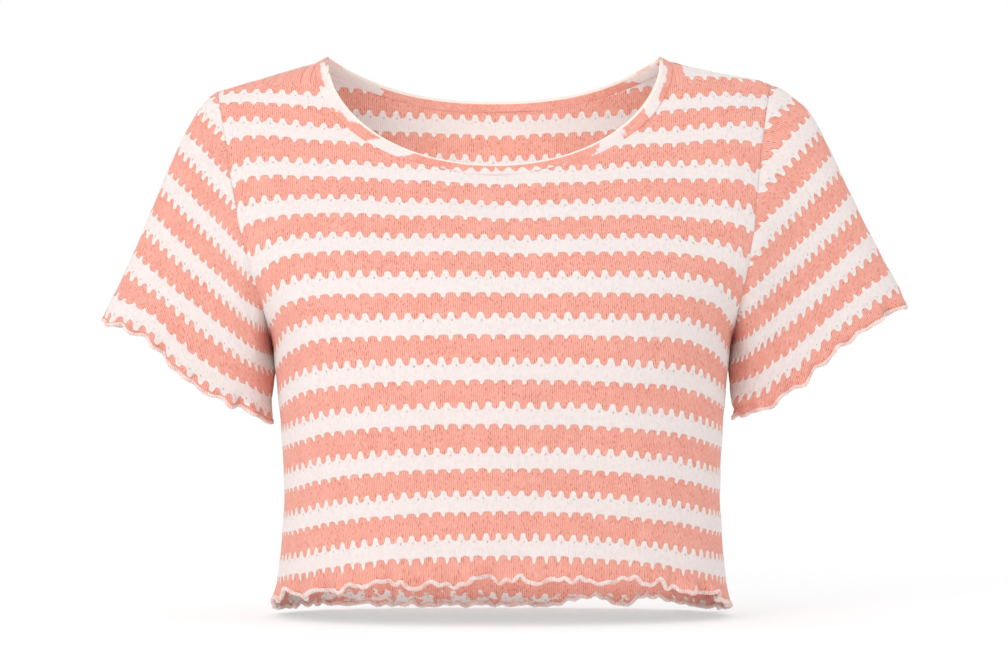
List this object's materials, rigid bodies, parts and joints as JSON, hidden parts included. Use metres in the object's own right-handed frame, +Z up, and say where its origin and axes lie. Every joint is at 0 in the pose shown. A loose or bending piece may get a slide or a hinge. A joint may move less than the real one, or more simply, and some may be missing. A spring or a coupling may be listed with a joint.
{
  "type": "sweater",
  "caption": "Cropped striped knit sweater, filled out with no wearer: round folded neckband, short set-in sleeves and rolled, waved overlock edges at hem and cuffs.",
  "frame": {"origin": "midway between the two neck points, at the top of the shoulders, where the wearer's shoulders hold the garment", "axes": "+X to the wearer's left, -Y out of the front, +Z up"},
  "size_m": [0.567, 0.2163, 0.3919],
  "materials": {
    "knit": "matte coral knit, striped with warm white in the visual model",
    "band": "matte knit, cut from the striped cloth and folded double",
    "edge": "pale pink overlock thread"
  },
  "bodies": {
    "root": {"front": "knit", "back": "knit", "sleeve_left": "knit", "sleeve_right": "knit", "neckband": "band", "hem_roll": "edge", "cuff_roll_left": "edge", "cuff_roll_right": "edge"}
  },
  "joints": []
}
